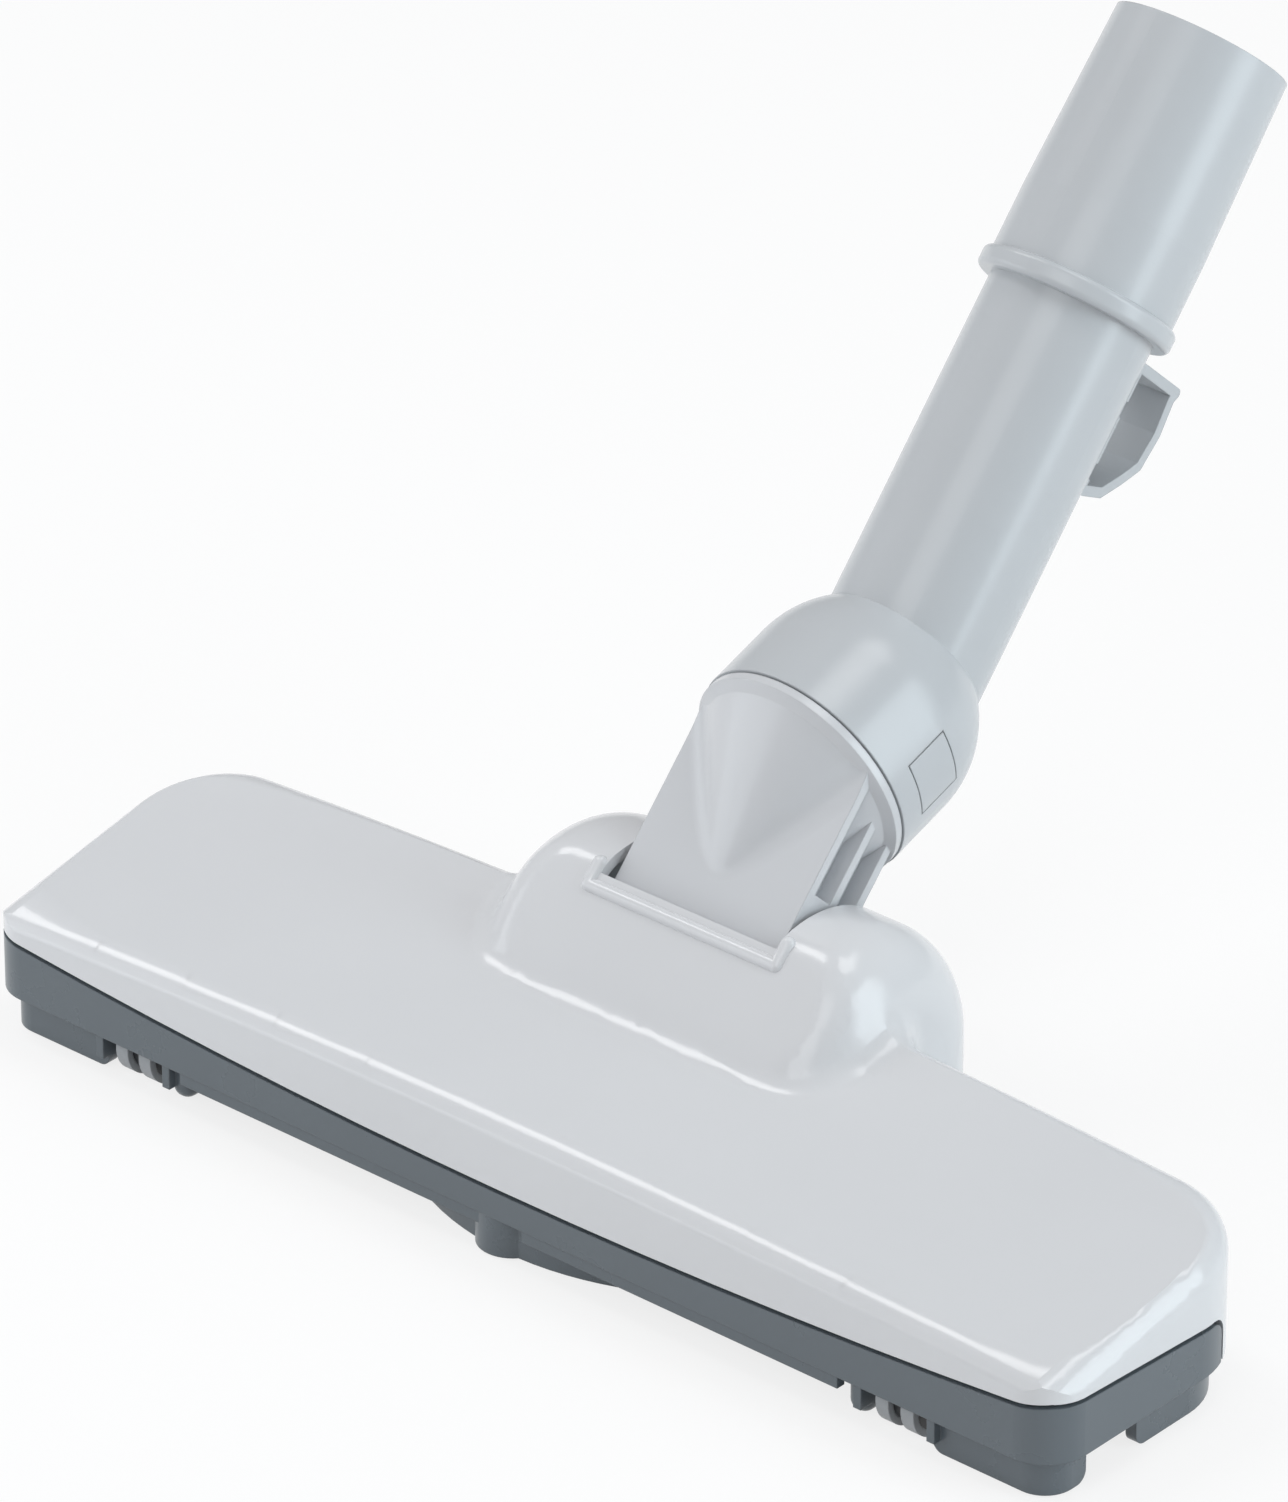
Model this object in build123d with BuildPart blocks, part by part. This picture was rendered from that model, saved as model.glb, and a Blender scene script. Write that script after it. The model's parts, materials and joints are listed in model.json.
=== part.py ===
import os
from math import cos, degrees, radians, sin

from build123d import *

# Plan of the head: front edge is nearest the user's view, Y runs to the back
head_width = 260.0
head_depth = 61.0
front_corner_r = 9.0
rear_corner_r = 19.0
wall = 2.4

# Heights above the floor
foot_clear = 0.4
skirt_bottom = 8.5
sole_thick = 2.0
seam_end = 20.4
seam_dip = 6.2
seam_fall = 2.6
seam_gap = 0.9
seam_rear = 49.0
seam_corner_r = 4.0

# Top of the cover
crown_radius = 2600.0
crown_spare = 0.6
crease_under = 0.6
bevel_run = 2.8
bevel_rise = 2.7
upper_crease_r = 7.0
lower_crease_r = 1.6
top_mid_setback = 30.0
top_mid_over = 5.9
top_rear_setback = 49.0
top_rear_over = 10.0
top_rear_slope = 0.34
top_edge_r = 6.0
slab_end_under = 2.5
slab_rise = 4.9
slab_tilt = 11.0

# Hump over the neck pivot
pivot_setback = 62.0
pivot_height = 26.7
hump_r = 27.0
ramp_tilt = 46.8
ramp_clear = 0.63
ramp_edge_r = 9.0
ramp_foot_r = 8.0
hump_half = 43.0
hump_edge_r = 14.0
hump_bottom = 13.0

# Window in the hump
window_half = 21.3
window_ahead = 9.7
window_drop = 3.0
bead_line_r = 1.5
bead_line_proud = 0.9
bead_line_return = 4.5

# Neck
neck_half = 20.0
barrel_gap = 0.4
barrel_shell = 2.2
barrel_open_from = 180.0
barrel_open_sweep = 82.0
neck_tilt = 46.7
neck_face = 20.7
rib_thick = 2.1
rib_pitch = 7.8
pocket_floor = 16.4
pocket_low = 23.5
bulge_low = 20.0
bulge_low_r = 5.0
bulge_drop = 0.8
bulge_step = 2.2
bulge_over = 1.35
bulge_blend_r = 8.0
duct_half = 14.6
trunnion_r = 5.5
trunnion_len = 7.0
running_clear = 0.05

# Swivel collar
collar_along = 44.7
collar_forward = 11.3
swivel_tilt = 19.0
collar_r = 23.4
collar_len = 15.0
hub_r = 19.6
hub_len = 12.0
hub_bore = 16.4
swivel_gap = 0.35
flange_thick = 1.7
flange_cone = 2.2
flange_taper = 4.5
flange_step = 0.3
seal_low = 2.4
seal_groove = 1.8
seal_r = 0.7
seal_seat = 0.03
lock_low = 7.0
lock_groove = 3.4
groove_depth = 1.6
tab_low = 5.8
tab_high = 15.8
tab_half = 6.0

# Pipe
bend_along = 25.7
pipe_tilt = 48.0
pipe_r = 16.7
pipe_bore = 14.4
flange_along = 79.7
pipe_len = 133.0
bead_r = 19.8
bead_thick = 4.2
bead_edge = 1.2
land_r = 18.5
land_len = 14.0
tip_r = 17.6
spigot_bore = 15.6

# Parking hook on the back of the pipe
hook_half = 7.0
hook_out = 34.5
hook_top_gap = 1.3
hook_len = 27.6
hook_wall = 2.1
hook_rib = 3.4
hook_slot = 3.2
hook_wave = 0.6
hook_draw = 8.6
hook_round = 1.0

# Front rollers
roller_inset = 37.1
roller_r = 6.5
roller_half = 4.4
roller_setback = 7.8
roller_window = 7.6
tyre_depth = 1.4
tyre_width = 3.0
axle_r = 1.5
axle_clear = 0.05
roller_front_wall = 1.1
foot_width = 5.1
foot_round = 2.4

# Rear wheels
wheel_x = 31.0
wheel_r = 8.0
wheel_half = 4.0
wheel_setback = 72.4
wheel_tyre = 1.6

axle_half = 9.2
wheel_axle_half = 6.4
well_wall = 1.8

# Inset rim under the skirt
rim_inset = 2.8
rim_thick = 2.4
side_notch_from = 13.0
side_notch_to = 27.0
lip_drop = 2.8
lip_height = 1.4
lip_thick = 1.2
fit_gap = 0.25
centre_foot_half = 29.0
centre_foot_front = 2.5
centre_foot_back = 10.0
lip_from = 5.0
bumper_r = 7.0
bumper_x = -2.85
bumper_proud = 2.4
tail_bottom = 5.0
step_thick = 2.2
mouth_from = 30.0
cradle_from = 245.0
cradle_sweep = 78.0
cradle_wall = 1.5
bearing_width = 4.8

# Brush strips
rail_height = 2.6
rail_half = 2.2
front_rail_setback = 22.0
front_rail_inset = 56.0
rear_rail_setback = 46.0
rear_rail_from = 30.0
rear_rail_inset = 18.0
tuft_r = 1.3
tuft_pitch = 6.0

# Screws
screw_head_r = 3.0
screw_head_h = 1.8
screw_r = 1.5
screw_len = 15.0
thread_clear = 0.02
press_clear = 0.02
post_r = 3.4
cover_screw_inset = 24.0
cover_screw_setback = 37.0
inner_screw_x = 62.0
inner_screw_setback = 33.0

# Bearing caps
cap_height = 9.0
cap_screw_shift = 7.9
cap_screw_r = 1.1
cap_screw_head_r = 1.9
cap_screw_len = 16.0

# Shared positions: the origin lies on the floor under the middle of the overall length
pipe_dir = (cos(radians(pipe_tilt)), sin(radians(pipe_tilt)))
neck_dir = (cos(radians(neck_tilt)), sin(radians(neck_tilt)))
swivel_dir = (cos(radians(swivel_tilt)), sin(radians(swivel_tilt)))
collar_reach = collar_along * neck_dir[0] - collar_forward * neck_dir[1]
collar_rise = collar_along * neck_dir[1] + collar_forward * neck_dir[0]
collar_setback = pivot_setback + collar_reach
bend_setback = collar_setback + bend_along * swivel_dir[0]
tip_setback = bend_setback + pipe_len * pipe_dir[0]
overall_length = tip_setback + tip_r * pipe_dir[1]
front_y = -overall_length / 2
half_width = head_width / 2
rear_y = front_y + head_depth
pivot_y = front_y + pivot_setback
front_low_crease = pivot_height - crease_under
top_mid = pivot_height + top_mid_over
top_rear = pivot_height + top_rear_over
slab_end = pivot_height - slab_end_under
tail_cut = 2 * head_depth
collar_y = front_y + collar_setback
collar_z = pivot_height + collar_rise
bend_y = front_y + bend_setback
bend_z = collar_z + bend_along * swivel_dir[1]
sole_top = skirt_bottom + sole_thick
barrel_r = neck_face
roller_y = front_y + roller_setback
roller_x = half_width - roller_inset
foot_inner_x = roller_x - roller_window - foot_width
cover_screw_x = half_width - cover_screw_inset
wheel_y = front_y + wheel_setback

neck_plane = Plane(origin=(0, pivot_y, pivot_height), x_dir=(0, *neck_dir), z_dir=(1, 0, 0))
swivel_plane = Plane(origin=(0, collar_y, collar_z), x_dir=(1, 0, 0), z_dir=(0, *swivel_dir))
pipe_plane = Plane(origin=(0, bend_y, bend_z), x_dir=(1, 0, 0), z_dir=(0, *pipe_dir))
pipe_side = Plane(origin=(0, bend_y, bend_z), x_dir=(0, *pipe_dir), z_dir=(1, 0, 0))
crown_turn = degrees(half_width / crown_radius) + crown_spare


def head_outline(inset):
    """Rounded plan of the head, drawn smaller by the inset."""
    with BuildSketch() as plan:
        with Locations((0, (front_y + rear_y) / 2)):
            Rectangle(head_width - 2 * inset, head_depth - 2 * inset)
        front = plan.vertices().group_by(Axis.Y)[0]
        fillet(front, max(front_corner_r - inset, 0.8))
        rear = plan.vertices().group_by(Axis.Y)[-1]
        fillet(rear, max(rear_corner_r - inset, 0.8))
    return plan.sketch


def crown_slab(inset):
    """Broad slab with an arched top that rises towards the back."""
    half = half_width + 20
    back = 1.2 * head_depth
    slope = (0, -cos(radians(slab_tilt)), -sin(radians(slab_tilt)))
    lift = back * sin(radians(slab_tilt)) / cos(radians(slab_tilt)) - inset
    crest = slab_end + slab_rise
    low = crest - slab_rise * (half / half_width) ** 2
    with BuildPart() as slab:
        with BuildSketch(Plane(origin=(0, front_y + back, lift), x_dir=(1, 0, 0), z_dir=(0, -1, 0))):
            with BuildLine():
                Polyline((-half, low), (-half, -60), (half, -60), (half, low))
                ThreePointArc((-half, low), (0, crest), (half, low))
            make_face()
        extrude(amount=1.4 * back, dir=slope)
    return slab.part


def bar_body(inset):
    """Bar of the cover: rounded block under a crowned top with a bevelled front edge."""
    turn = radians(-crown_turn)
    crown_plane = Plane(
        origin=(0, 0, -crown_radius), x_dir=(0, 1, 0), z_dir=(cos(turn), 0, -sin(turn))
    )
    lift = crown_radius
    half = half_width - inset
    front = front_y + inset
    corner = front_corner_r - inset
    bevel_y = front_y + bevel_run + inset * 0.45
    start = (bevel_y, lift + front_low_crease + bevel_rise - inset)
    low = (front, lift + front_low_crease - inset * 0.4)
    end = (front_y + top_rear_setback, lift + top_rear - inset)
    reach = 2 * front_corner_r
    with BuildPart() as body:
        with BuildSketch(Plane.XY.offset(skirt_bottom)) as plan:
            with Locations((0, (front_y + rear_y) / 2)):
                Rectangle(2 * half, head_depth - 2 * inset)
            with Locations((0, front)):
                Rectangle(2 * half, reach)
            fillet(plan.vertices().group_by(Axis.Y)[-1], rear_corner_r - inset)
        extrude(amount=top_rear + 20)
        add(crown_slab(inset), mode=Mode.INTERSECT)
        top = body.faces().sort_by(Axis.Z)[-1]
        fillet(top.edges().filter_by(lambda e: e.center().Y > front + 1), top_edge_r - inset)
        with BuildSketch(crown_plane) as crown:
            with BuildLine():
                ThreePointArc(
                    start,
                    (front_y + top_mid_setback, lift + top_mid - inset),
                    end,
                )
                Polyline(
                    end,
                    (rear_y + reach, end[1] + top_rear_slope * (rear_y + reach - end[0])),
                    (rear_y + reach, lift - 20),
                    (front, lift - 20),
                    low,
                    start,
                )
            make_face()
            fillet(crown.vertices().sort_by_distance(start)[0], upper_crease_r - inset)
            fillet(crown.vertices().sort_by_distance(low)[0], max(lower_crease_r - inset, 0.3))
        revolve(
            axis=Axis((0, 0, -crown_radius), (0, 1, 0)),
            revolution_arc=2 * crown_turn,
            mode=Mode.INTERSECT,
        )
        with BuildSketch(Plane.XY):
            for side in (-1, 1):
                with Locations((side * (half + reach / 2 - corner), front + corner - reach / 2)):
                    Rectangle(reach, reach)
                with Locations((side * (half - corner), front + corner)):
                    Circle(corner, mode=Mode.SUBTRACT)
        extrude(amount=100, mode=Mode.SUBTRACT)
    return body.part


def hump_body(inset, bottom):
    """Housing over the pivot: a barrel with round ends, cut by a flat ramp in front."""
    ramp = (cos(radians(ramp_tilt)), sin(radians(ramp_tilt)))
    away = neck_face + ramp_clear + wall - inset
    slope = Plane(
        origin=(0, pivot_y - away * ramp[1], pivot_height + away * ramp[0]),
        x_dir=(0, *ramp),
        z_dir=(1, 0, 0),
    )
    radius = hump_r - inset
    half = hump_half - inset
    with BuildPart() as body:
        with BuildSketch(Plane(origin=(0, pivot_y, pivot_height), x_dir=(1, 0, 0), z_dir=(0, 0, 1))) as ends:
            with Locations((0, radius / 2)):
                Rectangle(2 * half, radius)
            fillet(ends.vertices().group_by(Axis.Y)[-1], hump_edge_r - inset)
        revolve(axis=Axis((0, pivot_y, pivot_height), (1, 0, 0)))
        with BuildSketch(Plane.XY.offset(bottom)):
            with Locations((0, pivot_y)):
                RectangleRounded(2 * half, 2 * radius, hump_edge_r - inset)
        extrude(amount=pivot_height - bottom)
        with BuildSketch(slope):
            with Locations((0, 2 * hump_r)):
                Rectangle(8 * hump_r, 4 * hump_r)
        extrude(amount=2 * hump_half, both=True, mode=Mode.SUBTRACT)
        flat = body.faces().filter_by(lambda f: f.normal_at().dot(Vector(0, -ramp[1], ramp[0])) > 0.999)
        fillet(flat.edges().filter_by(lambda e: e.center().Z > pivot_height), ramp_edge_r - inset)
        with Locations((0, pivot_y, bottom - 50)):
            Box(4 * hump_half, 4 * hump_r, 100, mode=Mode.SUBTRACT)
    return body.part


def base_zone(gap):
    """Space under the parting line, which dips at the front and turns down near the back."""
    tall = 60.0
    with BuildPart() as zone:
        with BuildSketch(Plane(origin=(0, front_y - 10, gap), x_dir=(1, 0, 0), z_dir=(0, -1, 0))):
            with BuildLine():
                end = half_width + 5
                sag = seam_dip * (end / half_width) ** 2
                low = seam_end - seam_dip
                Polyline((end, low + sag), (end, -tall), (-end, -tall), (-end, low + sag))
                ThreePointArc((-end, low + sag), (0, low), (end, low + sag))
            make_face()
        extrude(amount=-(head_depth + 60))
        with BuildSketch(Plane.YZ) as side:
            with BuildLine():
                edge = front_y + seam_rear + gap
                Polyline(
                    (front_y - 10, -tall),
                    (front_y - 10, seam_end + 3 + gap),
                    (front_y, seam_end + 3 + gap),
                    (front_y + 3, seam_end - 0.3 + gap),
                    (edge, seam_end - seam_fall + gap),
                    (edge, -tall),
                    close=True,
                )
            make_face()
            corner = side.vertices().sort_by_distance((edge, seam_end - seam_fall + gap))[0]
            fillet(corner, seam_corner_r + gap)
        extrude(amount=half_width + 20, both=True, mode=Mode.INTERSECT)
    return zone.part


os.makedirs("parts", exist_ok=True)

bar_outer = bar_body(0.0)
hump_outer = hump_body(0.0, hump_bottom)
bar_inner = bar_body(wall)
hump_inner = hump_body(wall, hump_bottom - 5)
base_room = base_zone(0.0)
cover_gap = base_zone(seam_gap)
lip_room = base_zone(lip_height)
cover_screw_spots = [
    (side * x, front_y + setback)
    for side in (-1, 1)
    for x, setback in ((cover_screw_x, cover_screw_setback), (inner_screw_x, inner_screw_setback))
]

# Rounded bead along the front edge of the window, turned back at both ends
ramp_dir = (0, cos(radians(ramp_tilt)), sin(radians(ramp_tilt)))
bead_away = neck_face + ramp_clear + wall - bead_line_r + bead_line_proud
with BuildPart() as window_bead:
    bead_z = pivot_height + (bead_away - window_ahead * ramp_dir[2]) / ramp_dir[1]
    bead_half = window_half + bead_line_r
    bead_start = (0, pivot_y - window_ahead - bead_line_r, bead_z - bead_line_r * ramp_dir[2] / ramp_dir[1])
    with BuildSketch(Plane(origin=bead_start, z_dir=(1, 0, 0))):
        Circle(bead_line_r)
    extrude(amount=bead_half, both=True)
    for side in (-1, 1):
        corner = Plane(origin=(side * bead_half, *bead_start[1:]), z_dir=ramp_dir)
        with BuildSketch(corner):
            Circle(bead_line_r)
        extrude(amount=bead_line_return)
        with Locations(corner.origin, corner.origin + corner.z_dir * bead_line_return):
            Sphere(bead_line_r)

# Screw posts hang from the inside of the cover
with BuildPart() as cover_posts:
    with BuildSketch(Plane.XY.offset(sole_top)):
        with Locations(cover_screw_spots):
            Circle(post_r)
    extrude(amount=40)
    add(bar_outer, mode=Mode.INTERSECT)

with BuildPart() as top_cover:
    add(bar_outer)
    add(hump_outer)
    foot = top_cover.edges(Select.NEW)
    fillet(foot.filter_by(lambda e: e.center().Z > pivot_height), ramp_foot_r)
    add(bar_inner, mode=Mode.SUBTRACT)
    add(hump_inner, mode=Mode.SUBTRACT)
    add(cover_gap, mode=Mode.SUBTRACT)
    add(cover_posts.part)
    with BuildSketch(Plane.XY.offset(sole_top)):
        with Locations(cover_screw_spots):
            Circle(screw_r + thread_clear)
    extrude(amount=screw_len - sole_thick + 1, mode=Mode.SUBTRACT)
    with BuildSketch(Plane.YZ):
        with Locations((pivot_y - window_ahead, pivot_height - window_drop)):
            Rectangle(3 * hump_r, 2 * hump_r, align=Align.MIN)
    extrude(amount=window_half, both=True, mode=Mode.SUBTRACT)
    add(window_bead.part)
top_cover.part.label = "top_cover"
export_step(top_cover.part, "parts/top_cover.step")

# Dark base: skirt, sole, inset rim with feet, tail with cradle and wheel wells
bearing_half = trunnion_r + 4.5
post_from = window_half
post_to = window_half + bearing_width
cap_screw_spots = [
    (side * (post_from + post_to) / 2, pivot_y + shift)
    for side in (-1, 1)
    for shift in (-cap_screw_shift, cap_screw_shift)
]

with BuildPart() as skirt:
    with BuildSketch(Plane.XY.offset(skirt_bottom)):
        add(head_outline(0.0))
    extrude(amount=30)
    with BuildSketch(Plane.XY.offset(sole_top)):
        add(head_outline(wall))
    extrude(amount=40, mode=Mode.SUBTRACT)
    add(base_room, mode=Mode.INTERSECT)

with BuildPart() as inner_lip:
    with BuildSketch(Plane.XY.offset(skirt_bottom)):
        add(head_outline(wall + fit_gap))
        add(head_outline(wall + fit_gap + lip_thick), mode=Mode.SUBTRACT)
    extrude(amount=30)
    add(lip_room, mode=Mode.INTERSECT)

with BuildPart() as rim:
    with BuildSketch(Plane.XY.offset(foot_clear)):
        add(head_outline(rim_inset))
        add(head_outline(rim_inset + rim_thick), mode=Mode.SUBTRACT)
    extrude(amount=skirt_bottom - foot_clear)
    with BuildSketch(Plane.XY):
        with Locations((0, front_y)):
            Rectangle(2 * foot_inner_x, 20)
        with Locations((-roller_x, front_y), (roller_x, front_y)):
            Rectangle(2 * roller_window, 20)
        with Locations((0, front_y + (side_notch_from + side_notch_to) / 2)):
            Rectangle(2 * head_width, side_notch_to - side_notch_from)
        with Locations((0, rear_y)):
            Rectangle(2 * hump_half, 20)
    extrude(amount=skirt_bottom, mode=Mode.SUBTRACT)
    # Foot blocks at the inner ends of the roller windows
    with BuildSketch(Plane.XY.offset(foot_clear)):
        foot_x = foot_inner_x + foot_width / 2
        with Locations((-foot_x, front_y + rim_inset + 5), (foot_x, front_y + rim_inset + 5)):
            Rectangle(foot_width, 10)
    extrude(amount=skirt_bottom - foot_clear)
    window_ends = rim.edges().group_by(Axis.Z)[0].filter_by(Axis.Y)
    fillet(window_ends.filter_by(lambda e: abs(e.center().X) < roller_x + 2 * roller_window), foot_round)
    notch_ends = rim.edges().group_by(Axis.Z)[0].filter_by(Axis.X)
    fillet(notch_ends.filter_by(lambda e: e.length < 2 * rim_thick), foot_round)

with BuildPart() as tail:
    with BuildSketch(Plane.XY.offset(tail_bottom)):
        with Locations((0, pivot_y)):
            RectangleRounded(2 * hump_half, 2 * hump_r, hump_edge_r)
    extrude(amount=hump_bottom - fit_gap - tail_bottom)
    with BuildSketch(Plane.XY.offset(tail_bottom + sole_thick)):
        with Locations((0, pivot_y)):
            RectangleRounded(2 * (hump_half - wall), 2 * (hump_r - wall), hump_edge_r - wall)
    extrude(amount=20, mode=Mode.SUBTRACT)
    with Locations((0, rear_y - wall - fit_gap - step_thick - tail_cut / 2, 0)):
        Box(head_width, tail_cut, tail_cut, mode=Mode.SUBTRACT)
    tail_side_y = rear_y + fit_gap - tail_cut / 2
    with Locations((-hump_half, tail_side_y, 0), (hump_half, tail_side_y, 0)):
        Box(2 * (wall + fit_gap), tail_cut, tail_cut, mode=Mode.SUBTRACT)
    with Locations((0, rear_y - wall - fit_gap - step_thick / 2, (tail_bottom + sole_top) / 2)):
        Box(2 * (hump_half - wall - fit_gap), step_thick, sole_top - tail_bottom)

with BuildPart() as base_plate:
    add(skirt.part)
    add(inner_lip.part)
    add(rim.part)
    with BuildSketch(Plane.XY.offset(skirt_bottom)):
        add(head_outline(wall + fit_gap))
    extrude(amount=sole_thick)
    add(tail.part)
    # Hanging lip between the feet
    lip_mid = (foot_inner_x + lip_from) / 2
    lip_z = skirt_bottom - lip_drop / 2
    with Locations((-lip_mid, front_y + 1.6, lip_z), (lip_mid, front_y + 1.6, lip_z)):
        Box(foot_inner_x - lip_from, 2.0, lip_drop)
    # Centre foot with a bowed front and a round bumper
    with BuildSketch(Plane.XY.offset(foot_clear)):
        with BuildLine():
            foot_left = (-centre_foot_half, front_y + centre_foot_back)
            foot_right = (centre_foot_half, front_y + centre_foot_back)
            ThreePointArc(foot_left, (0, front_y + centre_foot_front), foot_right)
            Line(foot_left, foot_right)
        make_face()
        with Locations((bumper_x, front_y + centre_foot_front - bumper_proud + bumper_r)):
            Circle(bumper_r)
        with Locations((0, front_y + centre_foot_back)):
            Rectangle(2 * centre_foot_half, 2 * bumper_r, align=(Align.CENTER, Align.MIN), mode=Mode.SUBTRACT)
    extrude(amount=skirt_bottom - foot_clear)
    # Roller wells
    well_front = front_y + roller_front_wall
    well_back = roller_y + roller_r + 1
    well_mid = (well_front + well_back) / 2
    well_top = 2 * roller_r + 0.8
    for place in (-roller_x, roller_x):
        with Locations((place, well_mid + well_wall / 2, (well_top + well_wall + 3) / 2)):
            Box(2 * (roller_window + well_wall), well_back - well_front + well_wall, well_top + well_wall - 3)
        with Locations((place, well_mid, 0)):
            Box(2 * roller_window, well_back - well_front, 2 * well_top, mode=Mode.SUBTRACT)
    # Mouth of the suction channel and the room for the barrel
    with Locations((0, front_y + (mouth_from + pivot_setback) / 2, sole_top)):
        Box(2 * post_from, pivot_setback - mouth_from, 8, mode=Mode.SUBTRACT)
    with BuildSketch(Plane.YZ):
        with Locations((pivot_y, pivot_height)):
            Circle(barrel_r + barrel_gap)
    extrude(amount=post_from, both=True, mode=Mode.SUBTRACT)
    # Cradle under the barrel
    with BuildSketch(Plane.YZ):
        with BuildLine():
            cradle_in = CenterArc((pivot_y, pivot_height), barrel_r + barrel_gap, cradle_from, cradle_sweep)
            cradle_out = CenterArc(
                (pivot_y, pivot_height), barrel_r + barrel_gap + cradle_wall, cradle_from, cradle_sweep
            )
            Line(cradle_in @ 0, cradle_out @ 0)
            Line(cradle_in @ 1, cradle_out @ 1)
        make_face()
    extrude(amount=post_to, both=True)
    # Bearing posts
    for side in (-1, 1):
        with BuildSketch(Plane.YZ.offset(side * (post_from + post_to) / 2)):
            with Locations((pivot_y, (pivot_height + sole_top - 4) / 2)):
                Rectangle(2 * bearing_half, pivot_height - sole_top + 4)
        extrude(amount=bearing_width / 2, both=True)
    # Wheel wells in the tail
    with Locations((-wheel_x, wheel_y, 11.5), (wheel_x, wheel_y, 11.5)):
        Box(2 * wheel_half + 1.4 + 2 * well_wall, 2 * wheel_r + 4, 13)
    with Locations((-wheel_x, wheel_y, 0), (wheel_x, wheel_y, 0)):
        Box(2 * wheel_half + 1.4, 2 * wheel_r + 1.6, 33, mode=Mode.SUBTRACT)
    # Bores for trunnions, axles and screws
    with BuildSketch(Plane.YZ):
        with Locations((pivot_y, pivot_height)):
            Circle(trunnion_r + running_clear)
    extrude(amount=60, both=True, mode=Mode.SUBTRACT)
    for side in (-1, 1):
        with BuildSketch(Plane.YZ.offset(side * (roller_x - axle_half))):
            with Locations((roller_y, roller_r)):
                Circle(axle_r + press_clear)
        extrude(amount=side * 2 * axle_half, mode=Mode.SUBTRACT)
        with BuildSketch(Plane.YZ.offset(side * (wheel_x - wheel_axle_half))):
            with Locations((wheel_y, wheel_r)):
                Circle(axle_r + press_clear)
        extrude(amount=side * 2 * wheel_axle_half, mode=Mode.SUBTRACT)
    with BuildSketch(Plane.XY):
        with Locations(cover_screw_spots):
            Circle(screw_r + 0.1)
    extrude(amount=sole_top + 1, mode=Mode.SUBTRACT)
    with BuildSketch(Plane.XY.offset(pivot_height)):
        with Locations(cap_screw_spots):
            Circle(cap_screw_r + thread_clear)
    extrude(amount=cap_height - cap_screw_len - 0.5, mode=Mode.SUBTRACT)
base_plate.part.label = "base_plate"
export_step(base_plate.part, "parts/base_plate.step")

# Caps that close the two pivot bearings, with their screws
for side, name in ((-1, "left"), (1, "right")):
    with BuildPart() as pivot_cap:
        with BuildSketch(Plane.YZ.offset(side * (post_from + post_to) / 2)) as face:
            with Locations((pivot_y, pivot_height + cap_height / 2)):
                Rectangle(2 * bearing_half, cap_height)
            fillet(face.vertices().group_by(Axis.Y)[-1], 2.0)
            with Locations((pivot_y, pivot_height)):
                Circle(trunnion_r + running_clear, mode=Mode.SUBTRACT)
        extrude(amount=bearing_width / 2, both=True)
        with BuildSketch(Plane.XY.offset(pivot_height)):
            with Locations(cap_screw_spots):
                Circle(cap_screw_r + thread_clear)
        extrude(amount=cap_height + 1, mode=Mode.SUBTRACT)
    pivot_cap.part.label = "pivot_cap_" + name
    export_step(pivot_cap.part, "parts/pivot_cap_" + name + ".step")

with BuildPart() as pivot_screws:
    with BuildSketch(Plane.XY.offset(pivot_height + cap_height)):
        with Locations(cap_screw_spots):
            Circle(cap_screw_head_r)
    extrude(amount=screw_head_h)
    with BuildSketch(Plane.XY.offset(pivot_height + cap_height)):
        with Locations(cap_screw_spots):
            Circle(cap_screw_r)
    extrude(amount=-cap_screw_len)
pivot_screws.part.label = "pivot_screws"
export_step(pivot_screws.part, "parts/pivot_screws.step")

with BuildPart() as cover_screws:
    with BuildSketch(Plane.XY.offset(skirt_bottom)):
        with Locations(cover_screw_spots):
            Circle(screw_head_r)
    extrude(amount=-screw_head_h)
    with BuildSketch(Plane.XY.offset(skirt_bottom)):
        with Locations(cover_screw_spots):
            Circle(screw_r)
    extrude(amount=screw_len)
cover_screws.part.label = "cover_screws"
export_step(cover_screws.part, "parts/cover_screws.step")


def below_swivel(depth):
    """Half space under the swivel joint, as a cutter for everything above it."""
    with BuildPart() as cutter:
        with BuildSketch(swivel_plane.offset(-depth)):
            Rectangle(300, 300)
        extrude(amount=200)
    return cutter.part


# Neck: barrel in the hump, ribbed box and half cone up to the swivel hub
flange_under = flange_thick + flange_cone
above_flange = below_swivel(flange_thick)
neck_across = Plane(origin=(0, pivot_y, pivot_height), x_dir=(1, 0, 0), z_dir=(0, *neck_dir))
neck_back = neck_face - 2 * rib_pitch - rib_thick

# Slanting half cone from the front plate up to the flange
bulge_top = swivel_plane.offset(-flange_thick - bulge_drop)
bulge_foot = neck_plane.from_local_coords((bulge_low, neck_face, 0)) + swivel_plane.y_dir * bulge_low_r
bulge_far = bulge_foot + (bulge_top.origin - bulge_foot) * bulge_over
with BuildPart() as bulge:
    with BuildSketch(Plane(origin=bulge_foot, x_dir=(1, 0, 0), z_dir=swivel_plane.z_dir)):
        Circle(bulge_low_r)
    with BuildSketch(Plane(origin=bulge_far, x_dir=(1, 0, 0), z_dir=swivel_plane.z_dir)):
        Circle(bulge_low_r + (collar_r - bulge_step - bulge_low_r) * bulge_over)
    loft()

with BuildPart() as neck_duct:
    with BuildSketch(neck_across.offset(8)):
        with Locations((0, -(neck_face + neck_back) / 2)):
            Rectangle(2 * duct_half, neck_face - neck_back - 2 * rib_thick)
    extrude(amount=80)
    add(above_flange, mode=Mode.SUBTRACT)

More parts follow.
